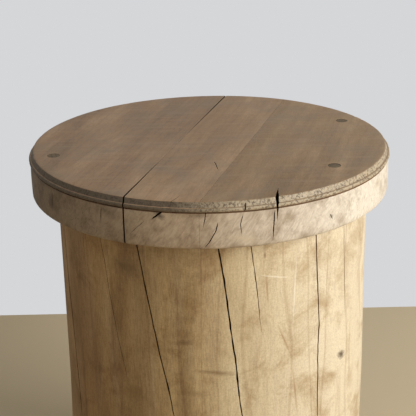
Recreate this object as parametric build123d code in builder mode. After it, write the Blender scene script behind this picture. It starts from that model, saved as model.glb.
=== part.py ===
"""Dugout butter churn: a hollowed log with a pegged base, a lift-off plank lid and a cross dasher inside.

Millimetres, +Z up. The origin is on the floor, on the axis of the log.
"""

import os
from math import cos, radians, sin, sqrt

from build123d import *

# Log
TRUNK_RADIUS = 195.5
TRUNK_WALL = 37.5
TRUNK_HEIGHT = 505.0
TRUNK_EDGE_CHAMFER = 3.0

# Base let in from below, on a ledge inside the log
BASE_RECESS = 12.0
BASE_THICKNESS = 30.0
BASE_LEDGE = 14.3
BASE_FIT = 0.3
BASE_MIDDLE_WIDTH = 114.0

# Lid of edge-jointed planks
LID_OVERHANG = 29.5
LID_THICKNESS = 55.0
LID_BEVEL_WIDTH = 6.0
LID_BEVEL_HEIGHT = 6.0
LID_BEAD_RADIUS = 2.5
LID_BAND_INSET = 1.0
LID_BOTTOM_ROUND = 3.0
GRAIN_ANGLE = 16.2  # the planks run this far clockwise from +Y, seen from above
PLANK_JOINTS = (-36.0, 50.0)  # across the grain, from the lid's centre

# Plugs let into the lid's top: angle in degrees from +X, and distance in from the lid's edge
PLUG_PLACES = ((-36.2, 44.0), (24.2, 32.0), (-166.4, 29.5))
PLUG_RADIUS = 7.5
PLUG_DEPTH = 12.0
PEG_FIT = 0.1

# Battens under the lid, across the planks and inside the mouth
BATTEN_WIDTH = 42.0
BATTEN_THICKNESS = 24.0
BATTEN_OFFSETS = (-85.0, 85.0)
BATTEN_MOUTH_CLEARANCE = 6.0
BATTEN_CHAMFER = 3.0
BATTEN_PEG_RADIUS = 5.0
BATTEN_PEG_DEPTH = 18.0
BATTEN_PEG_END_DISTANCE = 29.0
BATTEN_MIDDLE_PEG = 5.0  # across the grain, from the lid's centre

# Hidden dowels in the edge joints
DOWEL_RADIUS = 6.0
DOWEL_LENGTH = 50.0
DOWEL_END_GAP = 1.0
LID_DOWEL_SPACING = 90.0
BASE_DOWEL_OFFSET = 80.0

# Pegs through the log into the edge of the base
BASE_PEG_RADIUS = 6.0
BASE_PEG_BITE = 40.0
BASE_PEG_ANGLES = (0.0, 35.0, 90.0, 145.0, 180.0, 215.0, 270.0, 325.0)

# Dasher
DASHER_MOUTH_CLEARANCE = 23.0
DASHER_ARM_WIDTH = 48.0
DASHER_ARM_THICKNESS = 30.0
DASHER_ARM_CHAMFER = 4.0
LAP_FIT = 0.1
STAFF_RADIUS = 17.0
STAFF_LENGTH = 300.0
STAFF_TOP_CHAMFER = 3.0
TENON_RADIUS = 11.0
WEDGE_LENGTH = 20.0
WEDGE_THICK_END = 4.0
WEDGE_THIN_END = 1.0
HANDLE_RADIUS = 10.0
HANDLE_LENGTH = 170.0
HANDLE_DROP = 24.0  # from the staff's top to the handle's axis
HANDLE_END_CHAMFER = 2.0
HANDLE_PEG_RADIUS = 3.0

# Sizes that follow
MOUTH_RADIUS = TRUNK_RADIUS - TRUNK_WALL
BASE_TOP = BASE_RECESS + BASE_THICKNESS
BASE_SEAT_RADIUS = MOUTH_RADIUS + BASE_LEDGE
BASE_RADIUS = BASE_SEAT_RADIUS - BASE_FIT
BASE_MIDDLE = BASE_RECESS + BASE_THICKNESS / 2
LID_RADIUS = TRUNK_RADIUS + LID_OVERHANG
LID_TOP = TRUNK_HEIGHT + LID_THICKNESS
LID_MIDDLE = TRUNK_HEIGHT + LID_THICKNESS / 2
BATTEN_BOTTOM = TRUNK_HEIGHT - BATTEN_THICKNESS
BATTEN_REACH = max(abs(y) for y in BATTEN_OFFSETS) + BATTEN_WIDTH / 2
BATTEN_HALF = sqrt((MOUTH_RADIUS - BATTEN_MOUTH_CLEARANCE) ** 2 - BATTEN_REACH**2)
BATTEN_END_PEG = BATTEN_HALF - BATTEN_PEG_END_DISTANCE
BATTEN_PEG_OFFSETS = (-BATTEN_END_PEG, BATTEN_MIDDLE_PEG, BATTEN_END_PEG)
DASHER_ARM_LENGTH = 2 * (MOUTH_RADIUS - DASHER_MOUTH_CLEARANCE)
ARM_TOP = BASE_TOP + DASHER_ARM_THICKNESS
STAFF_TOP = ARM_TOP + STAFF_LENGTH
HANDLE_HEIGHT = STAFF_TOP - HANDLE_DROP
LID_PLANE = Plane.XY.rotated((0, 0, -GRAIN_ANGLE))


def on_circle(angle, radius, height):
    """A point at an angle and radius about the log's axis."""
    return (radius * cos(radians(angle)), radius * sin(radians(angle)), height)


def radial_plane(angle, radius, height):
    """A plane that faces outward from the log's axis."""
    return Plane(origin=on_circle(angle, radius, height), z_dir=on_circle(angle, 1, 0))


def across_plane(plane, across, along, height):
    """A plane that faces across the grain of boards laid on the given plane."""
    origin = plane.from_local_coords(Vector(across, along, height))
    return Plane(origin=origin, z_dir=plane.x_dir)


def lid_dowel_places():
    """Each dowel of the lid as its distance across and along the grain."""
    return [
        (joint, along)
        for joint in PLANK_JOINTS
        for along in (-LID_DOWEL_SPACING, 0.0, LID_DOWEL_SPACING)
    ]


def batten_peg_places():
    """Where each batten peg crosses the lid's underside, across, along and up the lid's plane."""
    return [Vector(x, y, TRUNK_HEIGHT) for x in BATTEN_PEG_OFFSETS for y in BATTEN_OFFSETS]


def plug_places():
    """Each plug's centre on the lid's top."""
    return [on_circle(angle, LID_RADIUS - inset, LID_TOP) for angle, inset in PLUG_PLACES]


def save(builder, name):
    """Labels the finished piece and writes it as the node of that name."""
    builder.part.label = name
    export_step(builder.part, f"parts/{name}.step")


os.makedirs("parts", exist_ok=True)

# The log, hollowed right through, with the ledge for its base
with BuildPart() as trunk:
    with BuildSketch(Plane.XZ):
        with BuildLine():
            Polyline(
                (BASE_SEAT_RADIUS, 0),
                (TRUNK_RADIUS - TRUNK_EDGE_CHAMFER, 0),
                (TRUNK_RADIUS, TRUNK_EDGE_CHAMFER),
                (TRUNK_RADIUS, TRUNK_HEIGHT),
                (MOUTH_RADIUS, TRUNK_HEIGHT),
                (MOUTH_RADIUS, BASE_TOP),
                (BASE_SEAT_RADIUS, BASE_TOP),
                close=True,
            )
        make_face()
    revolve(axis=Axis.Z)
    with Locations(*[radial_plane(a, MOUTH_RADIUS, BASE_MIDDLE) for a in BASE_PEG_ANGLES]):
        Cylinder(
            BASE_PEG_RADIUS + PEG_FIT,
            2 * TRUNK_WALL,
            align=(Align.CENTER, Align.CENTER, Align.MIN),
            mode=Mode.SUBTRACT,
        )
save(trunk, "trunk")

# The base, three boards edge to edge
base_joints = (-BASE_MIDDLE_WIDTH / 2, BASE_MIDDLE_WIDTH / 2)
base_edges = (-BASE_RADIUS, *base_joints, BASE_RADIUS)
base_dowel_places = [
    (joint, along) for joint in base_joints for along in (-BASE_DOWEL_OFFSET, BASE_DOWEL_OFFSET)
]
for side, low, high in zip(("left", "middle", "right"), base_edges, base_edges[1:]):
    with BuildPart() as base_board:
        with Locations((0, 0, BASE_MIDDLE)):
            Cylinder(BASE_RADIUS, BASE_THICKNESS)
        with Locations(((low + high) / 2, 0, BASE_MIDDLE)):
            Box(high - low, 2 * BASE_RADIUS, BASE_THICKNESS, mode=Mode.INTERSECT)
        with Locations(*[across_plane(Plane.XY, x, y, BASE_MIDDLE) for x, y in base_dowel_places]):
            Cylinder(DOWEL_RADIUS + PEG_FIT, DOWEL_LENGTH + 2 * DOWEL_END_GAP, mode=Mode.SUBTRACT)
        with Locations(*[radial_plane(a, BASE_RADIUS, BASE_MIDDLE) for a in BASE_PEG_ANGLES]):
            Cylinder(
                BASE_PEG_RADIUS + PEG_FIT,
                2 * (BASE_PEG_BITE + DOWEL_END_GAP),
                mode=Mode.SUBTRACT,
            )
    save(base_board, f"base_board_{side}")

with BuildPart() as base_dowels:
    with Locations(*[across_plane(Plane.XY, x, y, BASE_MIDDLE) for x, y in base_dowel_places]):
        Cylinder(DOWEL_RADIUS, DOWEL_LENGTH)
save(base_dowels, "base_dowels")

# Eight pegs through the wall into the base, trimmed flush with the bark side
with BuildPart() as base_pegs:
    with Locations(
        *[radial_plane(a, BASE_RADIUS - BASE_PEG_BITE, BASE_MIDDLE) for a in BASE_PEG_ANGLES]
    ):
        Cylinder(
            BASE_PEG_RADIUS,
            TRUNK_RADIUS - BASE_RADIUS + BASE_PEG_BITE,
            align=(Align.CENTER, Align.CENTER, Align.MIN),
        )
save(base_pegs, "base_pegs")

# The lid's planks: one moulded disc, cut along the joints
bead_root = LID_RADIUS - LID_BEAD_RADIUS
bead_middle = LID_TOP - LID_BEVEL_HEIGHT - LID_BEAD_RADIUS
band_radius = LID_RADIUS - LID_BAND_INSET
plank_edges = (-LID_RADIUS, *PLANK_JOINTS, LID_RADIUS)
for side, low, high in zip(("left", "middle", "right"), plank_edges, plank_edges[1:]):
    with BuildPart(LID_PLANE) as lid_plank:
        with BuildSketch(Plane.XZ):
            with BuildLine():
                Polyline(
                    (band_radius - LID_BOTTOM_ROUND, TRUNK_HEIGHT),
                    (0, TRUNK_HEIGHT),
                    (0, LID_TOP),
                    (LID_RADIUS - LID_BEVEL_WIDTH, LID_TOP),
                    (bead_root, LID_TOP - LID_BEVEL_HEIGHT),
                )
                ThreePointArc(
                    (bead_root, LID_TOP - LID_BEVEL_HEIGHT),
                    (LID_RADIUS, bead_middle),
                    (bead_root, bead_middle - LID_BEAD_RADIUS),
                )
                Polyline(
                    (bead_root, bead_middle - LID_BEAD_RADIUS),
                    (band_radius, bead_middle - 2 * LID_BEAD_RADIUS),
                    (band_radius, TRUNK_HEIGHT + LID_BOTTOM_ROUND),
                    (band_radius - LID_BOTTOM_ROUND, TRUNK_HEIGHT),
                )
            make_face()
        revolve(axis=Axis.Z)
        with Locations(((low + high) / 2, 0, LID_MIDDLE)):
            Box(high - low, 2 * LID_RADIUS, LID_THICKNESS, mode=Mode.INTERSECT)
    with BuildPart() as bored_plank:
        add(lid_plank.part)
        with Locations(*plug_places()):
            Cylinder(
                PLUG_RADIUS + PEG_FIT,
                PLUG_DEPTH,
                align=(Align.CENTER, Align.CENTER, Align.MAX),
                mode=Mode.SUBTRACT,
            )
        with Locations(*[across_plane(LID_PLANE, x, y, LID_MIDDLE) for x, y in lid_dowel_places()]):
            Cylinder(DOWEL_RADIUS + PEG_FIT, DOWEL_LENGTH + 2 * DOWEL_END_GAP, mode=Mode.SUBTRACT)
        with Locations(*[LID_PLANE.from_local_coords(place) for place in batten_peg_places()]):
            Cylinder(
                BATTEN_PEG_RADIUS + PEG_FIT,
                2 * (BATTEN_PEG_DEPTH + DOWEL_END_GAP),
                mode=Mode.SUBTRACT,
            )
    save(bored_plank, f"lid_plank_{side}")

with BuildPart() as lid_dowels:
    with Locations(*[across_plane(LID_PLANE, x, y, LID_MIDDLE) for x, y in lid_dowel_places()]):
        Cylinder(DOWEL_RADIUS, DOWEL_LENGTH)
save(lid_dowels, "lid_dowels")

# Three plugs, flush with the lid's top
with BuildPart() as lid_plugs:
    with Locations(*plug_places()):
        Cylinder(PLUG_RADIUS, PLUG_DEPTH, align=(Align.CENTER, Align.CENTER, Align.MAX))
save(lid_plugs, "lid_plugs")

# Two battens that stop the planks cupping, clear of the mouth
for side, offset in zip(("front", "back"), BATTEN_OFFSETS):
    with BuildPart(LID_PLANE) as lid_batten:
        with Locations((0, offset, TRUNK_HEIGHT)):
            Box(
                2 * BATTEN_HALF,
                BATTEN_WIDTH,
                BATTEN_THICKNESS,
                align=(Align.CENTER, Align.CENTER, Align.MAX),
            )
        chamfer(lid_batten.edges().group_by(Axis.Z)[0], BATTEN_CHAMFER)
        with Locations(*[(x, offset, TRUNK_HEIGHT) for x in BATTEN_PEG_OFFSETS]):
            Cylinder(BATTEN_PEG_RADIUS + PEG_FIT, 2 * BATTEN_THICKNESS, mode=Mode.SUBTRACT)
    save(lid_batten, f"lid_batten_{side}")

with BuildPart(LID_PLANE) as batten_pegs:
    with Locations(*[(x, y, BATTEN_BOTTOM) for x in BATTEN_PEG_OFFSETS for y in BATTEN_OFFSETS]):
        Cylinder(
            BATTEN_PEG_RADIUS,
            BATTEN_THICKNESS + BATTEN_PEG_DEPTH,
            align=(Align.CENTER, Align.CENTER, Align.MIN),
        )
save(batten_pegs, "batten_pegs")

# The dasher's two arms, halved into each other at the middle
arm_middle = BASE_TOP + DASHER_ARM_THICKNESS / 2
lap_width = DASHER_ARM_WIDTH + 2 * LAP_FIT
for name, turn, lap_side in (("lower", 0, Align.MIN), ("upper", 90, Align.MAX)):
    with BuildPart(Plane.XY.rotated((0, 0, turn))) as dasher_arm:
        with Locations((0, 0, arm_middle)):
            Box(DASHER_ARM_LENGTH, DASHER_ARM_WIDTH, DASHER_ARM_THICKNESS)
        chamfer(dasher_arm.edges().filter_by(Axis.Z), DASHER_ARM_CHAMFER)
        with Locations((0, 0, arm_middle)):
            Box(
                lap_width,
                DASHER_ARM_WIDTH,
                DASHER_ARM_THICKNESS / 2,
                align=(Align.CENTER, Align.CENTER, lap_side),
                mode=Mode.SUBTRACT,
            )
            Cylinder(TENON_RADIUS + PEG_FIT, DASHER_ARM_THICKNESS, mode=Mode.SUBTRACT)
    save(dasher_arm, f"dasher_arm_{name}")

# The wedge that spreads the staff's tenon from below
wedge_width = 2 * TENON_RADIUS
with BuildPart() as dasher_wedge:
    with BuildSketch(Plane.XZ):
        with BuildLine():
            Polyline(
                (-WEDGE_THICK_END / 2, BASE_TOP),
                (WEDGE_THICK_END / 2, BASE_TOP),
                (WEDGE_THIN_END / 2, BASE_TOP + WEDGE_LENGTH),
                (-WEDGE_THIN_END / 2, BASE_TOP + WEDGE_LENGTH),
                close=True,
            )
        make_face()
    extrude(amount=wedge_width / 2, both=True)
    with Locations((0, 0, arm_middle)):
        Cylinder(TENON_RADIUS, DASHER_ARM_THICKNESS, mode=Mode.INTERSECT)
save(dasher_wedge, "dasher_wedge")

# The staff, shouldered on the arms, with its wedged tenon through them
with BuildPart() as dasher_staff:
    with Locations((0, 0, ARM_TOP)):
        Cylinder(STAFF_RADIUS, STAFF_LENGTH, align=(Align.CENTER, Align.CENTER, Align.MIN))
    chamfer(dasher_staff.edges().group_by(Axis.Z)[-1], STAFF_TOP_CHAMFER)
    with Locations((0, 0, BASE_TOP)):
        Cylinder(
            TENON_RADIUS,
            DASHER_ARM_THICKNESS,
            align=(Align.CENTER, Align.CENTER, Align.MIN),
        )
    with BuildSketch(Plane.XZ):
        with BuildLine():
            Polyline(
                (-WEDGE_THICK_END / 2 - PEG_FIT, BASE_TOP),
                (WEDGE_THICK_END / 2 + PEG_FIT, BASE_TOP),
                (WEDGE_THIN_END / 2 + PEG_FIT, BASE_TOP + WEDGE_LENGTH + PEG_FIT),
                (-WEDGE_THIN_END / 2 - PEG_FIT, BASE_TOP + WEDGE_LENGTH + PEG_FIT),
                close=True,
            )
        make_face()
    extrude(amount=STAFF_RADIUS, both=True, mode=Mode.SUBTRACT)
    with Locations(Plane(origin=(0, 0, HANDLE_HEIGHT), z_dir=(1, 0, 0))):
        Cylinder(HANDLE_RADIUS + PEG_FIT, 2 * STAFF_RADIUS, mode=Mode.SUBTRACT)
    with Locations((0, 0, HANDLE_HEIGHT)):
        Cylinder(
            HANDLE_PEG_RADIUS + PEG_FIT,
            HANDLE_DROP,
            align=(Align.CENTER, Align.CENTER, Align.MIN),
            mode=Mode.SUBTRACT,
        )
save(dasher_staff, "dasher_staff")

# The cross handle and the peg that keeps it in the staff
with BuildPart() as dasher_handle:
    with Locations(Plane(origin=(0, 0, HANDLE_HEIGHT), z_dir=(1, 0, 0))):
        Cylinder(HANDLE_RADIUS, HANDLE_LENGTH)
    chamfer(
        dasher_handle.edges().filter_by(GeomType.CIRCLE),
        HANDLE_END_CHAMFER,
    )
    with Locations((0, 0, HANDLE_HEIGHT)):
        Cylinder(
            HANDLE_PEG_RADIUS + PEG_FIT,
            2 * HANDLE_RADIUS,
            align=(Align.CENTER, Align.CENTER, Align.MIN),
            mode=Mode.SUBTRACT,
        )
save(dasher_handle, "dasher_handle")

with BuildPart() as handle_peg:
    with Locations((0, 0, STAFF_TOP)):
        Cylinder(
            HANDLE_PEG_RADIUS,
            HANDLE_DROP,
            align=(Align.CENTER, Align.CENTER, Align.MAX),
        )
save(handle_peg, "handle_peg")
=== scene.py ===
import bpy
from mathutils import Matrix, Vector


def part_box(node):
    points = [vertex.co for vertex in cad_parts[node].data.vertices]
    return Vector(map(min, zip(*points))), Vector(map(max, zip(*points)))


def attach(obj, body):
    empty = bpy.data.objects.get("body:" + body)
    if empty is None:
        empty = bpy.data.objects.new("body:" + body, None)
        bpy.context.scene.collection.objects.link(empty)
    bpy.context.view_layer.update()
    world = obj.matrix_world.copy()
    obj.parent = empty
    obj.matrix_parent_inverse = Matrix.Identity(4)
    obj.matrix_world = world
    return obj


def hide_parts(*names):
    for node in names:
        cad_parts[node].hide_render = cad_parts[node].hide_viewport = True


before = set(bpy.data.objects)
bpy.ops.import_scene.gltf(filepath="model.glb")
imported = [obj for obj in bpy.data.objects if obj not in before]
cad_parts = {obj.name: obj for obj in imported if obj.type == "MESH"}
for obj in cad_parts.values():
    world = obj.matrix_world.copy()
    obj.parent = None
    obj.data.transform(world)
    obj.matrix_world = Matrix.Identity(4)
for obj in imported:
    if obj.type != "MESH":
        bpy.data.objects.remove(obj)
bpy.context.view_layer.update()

import math
import random

import bmesh
import bpy
from mathutils import Matrix, Vector, noise

# ---------------------------------------------------------------------------
# The room. A plain pale floor and wall, soft light from a window on the right,
# a weaker light from behind, and a long lens that looks down on the lid.
# ---------------------------------------------------------------------------
CAMERA_PLACE = (-0.003, -1.380, 0.989)
CAMERA_PITCH = 20.61
CAMERA_ROLL = -1.22
CAMERA_LENS = 99.3
WALL_DISTANCE = 0.672
FLOOR_REACH = 6.0
WALL_COLOUR = "d5d6d8"
FLOOR_COLOUR = "c4b394"
WINDOW_PLACE = (2.15, -1.3, 1.3)
WINDOW_SIZE = 1.5
WINDOW_POWER = 66.0
ROOM_LIGHT = 0.46
ROOM_COLOUR = "f4f3ef"
REAR_PLACE = (-1.0, 3.0, 2.0)
REAR_SIZE = 2.5
REAR_POWER = 34.0
LAMP_AIM = (0, 0, 0.35)


def linear(hex_colour):
    """An sRGB hex colour as the linear values that shaders use."""
    channels = [int(hex_colour[i:i + 2], 16) / 255 for i in (0, 2, 4)]
    values = [c / 12.92 if c <= 0.04045 else ((c + 0.055) / 1.055) ** 2.4 for c in channels]
    return (*values, 1.0)


def add_node(tree, kind, settings=None, links=None):
    """Adds a node. A lower-case setting is a property, and any other key is a socket."""
    made = tree.nodes.new(kind)
    for key, value in (settings or {}).items():
        if isinstance(key, str) and key.islower():
            setattr(made, key, value)
        else:
            made.inputs[key].default_value = value
    for key, source in (links or {}).items():
        tree.links.new(source, made.inputs[key])
    return made


def flat_panel(name, corners, material):
    """A single face through the corners."""
    mesh = bpy.data.meshes.new(name)
    mesh.from_pydata(corners, [], [range(len(corners))])
    mesh.materials.append(material)
    panel = bpy.data.objects.new(name, mesh)
    bpy.context.collection.objects.link(panel)


def floor_paint():
    """Matt pale paint, which keeps the churn's shadow."""
    material = bpy.data.materials.new("matt pale floor")
    material.use_nodes = True
    shader = material.node_tree.nodes["Principled BSDF"]
    shader.inputs["Base Color"].default_value = linear(FLOOR_COLOUR)
    shader.inputs["Roughness"].default_value = 0.9
    return material


def wall_paint():
    """An even pale grey to the camera, matt to the light, and clear from behind."""
    material = bpy.data.materials.new("plain grey wall")
    material.use_nodes = True
    tree = material.node_tree
    tree.nodes.clear()
    seen = add_node(tree, "ShaderNodeEmission", {"Color": linear(WALL_COLOUR)})
    lit = add_node(tree, "ShaderNodeBsdfDiffuse", {"Color": linear(WALL_COLOUR)})
    ray = add_node(tree, "ShaderNodeLightPath").outputs["Is Camera Ray"]
    front = add_node(tree, "ShaderNodeMixShader", {}, {0: ray, 1: lit.outputs[0], 2: seen.outputs[0]})
    clear = add_node(tree, "ShaderNodeBsdfTransparent")
    behind = add_node(tree, "ShaderNodeNewGeometry").outputs["Backfacing"]
    both = add_node(
        tree, "ShaderNodeMixShader", {}, {0: behind, 1: front.outputs[0], 2: clear.outputs[0]}
    )
    add_node(tree, "ShaderNodeOutputMaterial", {}, {"Surface": both.outputs[0]})
    return material


flat_panel(
    "floor",
    [
        (-FLOOR_REACH, -FLOOR_REACH, 0),
        (FLOOR_REACH, -FLOOR_REACH, 0),
        (FLOOR_REACH, FLOOR_REACH, 0),
        (-FLOOR_REACH, FLOOR_REACH, 0),
    ],
    floor_paint(),
)
flat_panel(
    "wall",
    [
        (FLOOR_REACH, WALL_DISTANCE, 0),
        (FLOOR_REACH, WALL_DISTANCE, FLOOR_REACH),
        (-FLOOR_REACH, WALL_DISTANCE, FLOOR_REACH),
        (-FLOOR_REACH, WALL_DISTANCE, 0),
    ],
    wall_paint(),
)

world = bpy.data.worlds.new("room")
bpy.context.scene.world = world
world.use_nodes = True
sky = world.node_tree
sky.nodes.clear()
seen_wall = add_node(sky, "ShaderNodeBackground", {"Color": linear(WALL_COLOUR), "Strength": 1.0})
room_fill = add_node(sky, "ShaderNodeBackground", {"Color": linear(ROOM_COLOUR), "Strength": ROOM_LIGHT})
camera_ray = add_node(sky, "ShaderNodeLightPath").outputs["Is Camera Ray"]
room_mix = add_node(
    sky, "ShaderNodeMixShader", {}, {0: camera_ray, 1: room_fill.outputs[0], 2: seen_wall.outputs[0]}
)
add_node(sky, "ShaderNodeOutputWorld", {}, {"Surface": room_mix.outputs[0]})


def soft_lamp(name, place, size, power):
    """A square soft lamp, aimed at the middle of the churn."""
    lamp = bpy.data.lights.new(name, "AREA")
    lamp.size = size
    lamp.energy = power
    made = bpy.data.objects.new(name, lamp)
    made.location = place
    aim = Vector(LAMP_AIM) - Vector(place)
    made.rotation_euler = aim.to_track_quat("-Z", "Y").to_euler()
    bpy.context.collection.objects.link(made)


soft_lamp("window", WINDOW_PLACE, WINDOW_SIZE, WINDOW_POWER)
soft_lamp("rear", REAR_PLACE, REAR_SIZE, REAR_POWER)

camera = bpy.data.objects.new("camera", bpy.data.cameras.new("camera"))
camera.data.lens = CAMERA_LENS
camera.data.sensor_width = 36.0
tilt = Matrix.Rotation(math.radians(90 - CAMERA_PITCH), 4, "X")
roll = Matrix.Rotation(math.radians(CAMERA_ROLL), 4, "Z")
camera.matrix_world = Matrix.Translation(CAMERA_PLACE) @ tilt @ roll
bpy.context.collection.objects.link(camera)
bpy.context.scene.camera = camera
bpy.context.scene.view_settings.view_transform = "Standard"

# ---------------------------------------------------------------------------
# The log. One length of poplar, hollowed right through with an adze, its bark
# side shaved and waxed. It dried for years, so long checks run down it, and
# they lean because the grain winds a little round the trunk.
# ---------------------------------------------------------------------------
MM = 0.001
LOG_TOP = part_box("trunk")[1].z
LOG_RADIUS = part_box("trunk")[1].x
MOUTH_RADIUS = 158 * MM
BASE_SEAT_RADIUS = 172.3 * MM
BASE_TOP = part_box("base_board_middle")[1].z
LID_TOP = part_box("lid_plank_middle")[1].z
LOG_COLUMNS = 288
LOG_ROWS = 64
LOG_FOOT_CHAMFER = 3 * MM
LOG_LEAN = 3 * MM
PEG_HOLE_RADIUS = 6.3 * MM
PEG_BORE_LENGTH = 50 * MM
BASE_PEG_HEIGHT = 27 * MM
BASE_PEG_ANGLES = (0, 35, 90, 145, 180, 215, 270, 325)

# Checks seen from in front: width and depth in millimetres, then points of millimetres below
# the lid's top and degrees round from the front towards the right
FRONT_CHECKS = (
    (0.5, 5, ((58, -51.6), (109, -51.0), (122, -50.6))),
    (0.8, 9, ((50, -42.9), (115, -39.6), (170, -37.0), (229, -33.3), (262, -31.6))),
    (1.8, 15, ((50, -26.8), (104, -24.0), (166, -21.0), (218, -17.9), (282, -14.4), (420, -8.5))),
    (1.8, 15, ((50, 1.7), (111, 4.2), (165, 5.9), (227, 7.9), (281, 9.5), (465, 15.0))),
    (1.0, 8, ((52, 12.5), (108, 14.6), (136, 15.6), (178, 16.8))),
    (1.5, 14, ((50, 37.4), (121, 38.6), (181, 39.7), (231, 39.2), (309, 39.5), (400, 40.5))),
    (0.7, 6, ((58, 52.2), (130, 53.6), (196, 55.0))),
)
CHECK_STEPS = 14
CUT_CLEARANCE = 2.5 * MM
ROOT_HALF_WIDTH = 0.08 * MM
BACK_CHECK_SEED = 11
BACK_CHECK_NOISE = 20
BACK_CHECK_DEPTH_BY_WIDTH = 6
BACK_CHECK_ANGLES = (78, 103, 121, 149, 168, 194, 221, 247, 266, 289)


def side_point(azimuth, below, radius):
    """A point so many degrees round from the front, and metres below the lid's top."""
    angle = math.radians(azimuth)
    return Vector((radius * math.sin(angle), -radius * math.cos(angle), LID_TOP - below))


def level_direction(degrees):
    """A level direction, at an angle from the x axis."""
    angle = math.radians(degrees)
    return Vector((math.cos(angle), math.sin(angle), 0))


def turned(name, outline, columns, shape):
    """Turns a closed outline of (radius, height) about the upright axis, and shapes each point."""
    mesh = bmesh.new()
    rings = []
    for column in range(columns):
        azimuth = 360 * column / columns
        rings.append([mesh.verts.new(shape(azimuth, r, z)) for r, z in outline])
    count = len(outline)
    for column, ring in enumerate(rings):
        after = rings[(column + 1) % columns]
        for i in range(count):
            j = (i + 1) % count
            mesh.faces.new((ring[i], after[i], after[j], ring[j]))
    bmesh.ops.remove_doubles(mesh, verts=mesh.verts, dist=1e-6)
    bmesh.ops.recalc_face_normals(mesh, faces=mesh.faces)
    made = bpy.data.meshes.new(name)
    mesh.to_mesh(made)
    mesh.free()
    return made


def steps(start, end, count):
    """Even steps from start up to, but not at, end."""
    return [start + (end - start) * i / count for i in range(count)]


def add_bar(mesh, rows):
    """Joins rows of four corners into a closed bar."""
    for here, after in zip(rows, rows[1:]):
        for i in range(4):
            j = (i + 1) % 4
            mesh.faces.new((here[i], here[j], after[j], after[i]))
    mesh.faces.new(rows[0][::-1])
    mesh.faces.new(rows[-1])


def add_blade(mesh, mouths, roots, sides, widths):
    """Adds a thin closed wedge, wide along its mouths and sharp along its roots."""
    rows = []
    for mouth, root, side, width in zip(mouths, roots, sides, widths):
        edge = side.normalized() * width / 2
        tip = side.normalized() * ROOT_HALF_WIDTH
        rows.append([mesh.verts.new(p) for p in (mouth - edge, mouth + edge, root + tip, root - tip)])
    add_bar(mesh, rows)


def add_bore(mesh, centre, axis, radius, length):
    """Adds a round bar, to bore a hole."""
    turn = axis.to_track_quat("Z", "Y").to_matrix().to_4x4()
    bmesh.ops.create_cone(
        mesh,
        cap_ends=True,
        segments=24,
        radius1=radius,
        radius2=radius,
        depth=length,
        matrix=Matrix.Translation(centre) @ turn,
    )


def point_along(points, share):
    """The point at a share of the way along a line of points, each stretch counted alike."""
    place = share * (len(points) - 1)
    i = min(int(place), len(points) - 2)
    t = place - i
    return [a + (b - a) * t for a, b in zip(points[i], points[i + 1])]


def taper(share, from_edge=False):
    """1 along most of a check, and down to nothing at its ends, or at its far end alone."""
    near = 1.0 if from_edge else 7 * share + 0.02
    return min(1.0, near, 3.2 * (1 - share) + 0.02)


def add_log_check(mesh, points, width, depth, seed, from_edge=True):
    """Adds the wedge of one check that runs down the log."""
    count = CHECK_STEPS * (len(points) - 1)
    mouths, roots, sides, widths = [], [], [], []
    for i in range(count + 1):
        share = i / count
        below, azimuth = point_along(points, share)
        azimuth += 0.14 * noise.noise(Vector((seed, below / 9, 0)))
        azimuth += 0.3 * noise.noise(Vector((seed, below / 45, 5)))
        opening = taper(share, from_edge)
        uneven = 1 + 0.55 * noise.noise(Vector((seed, below / 14, 9)))
        slant = 1.5 * noise.noise(Vector((seed, below / 60, 13)))
        mouths.append(side_point(azimuth, below * MM, LOG_RADIUS + CUT_CLEARANCE))
        roots.append(side_point(azimuth + slant, below * MM, LOG_RADIUS - depth * opening * MM))
        sides.append(level_direction(azimuth))
        widths.append(max(0.12, 1.15 * width * opening * uneven) * MM)
    add_blade(mesh, mouths, roots, sides, widths)


def cut(piece, cutter_mesh, hollow_material):
    """Takes the cutters out of a piece, and gives the cut faces the hollow's material."""
    bmesh.ops.recalc_face_normals(cutter_mesh, faces=cutter_mesh.faces)
    made = bpy.data.meshes.new("cutters")
    cutter_mesh.to_mesh(made)
    cutter_mesh.free()
    made.materials.append(hollow_material)
    cutters = bpy.data.objects.new("cutters", made)
    bpy.context.collection.objects.link(cutters)
    difference = piece.modifiers.new("cutters", "BOOLEAN")
    difference.object = cutters
    difference.operation = "DIFFERENCE"
    difference.solver = "EXACT"
    difference.use_self = True
    difference.material_mode = "TRANSFER"
    bpy.context.view_layer.update()
    evaluated = piece.evaluated_get(bpy.context.evaluated_depsgraph_get())
    result = bpy.data.meshes.new_from_object(evaluated)
    piece.modifiers.remove(difference)
    piece.data = result
    bpy.data.objects.remove(cutters)


def shade(piece, angle=38):
    """Smooth faces, with a crisp edge where they meet at more than the angle."""
    piece.data.shade_smooth()
    piece.data.set_sharp_from_angle(angle=math.radians(angle))


def tinted(tree, colour, level, start, full, strength, tint, blend="MULTIPLY"):
    """Lays a tint over a colour: none where the level is at start, and at its strength at full."""
    mask = add_node(
        tree,
        "ShaderNodeMapRange",
        {"From Min": start, "From Max": full, "To Max": strength},
        {"Value": level},
    ).outputs[0]
    return add_node(
        tree,
        "ShaderNodeMix",
        {"data_type": "RGBA", "blend_type": blend, 7: linear(tint)},
        {0: mask, 6: colour},
    ).outputs[2]


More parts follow.
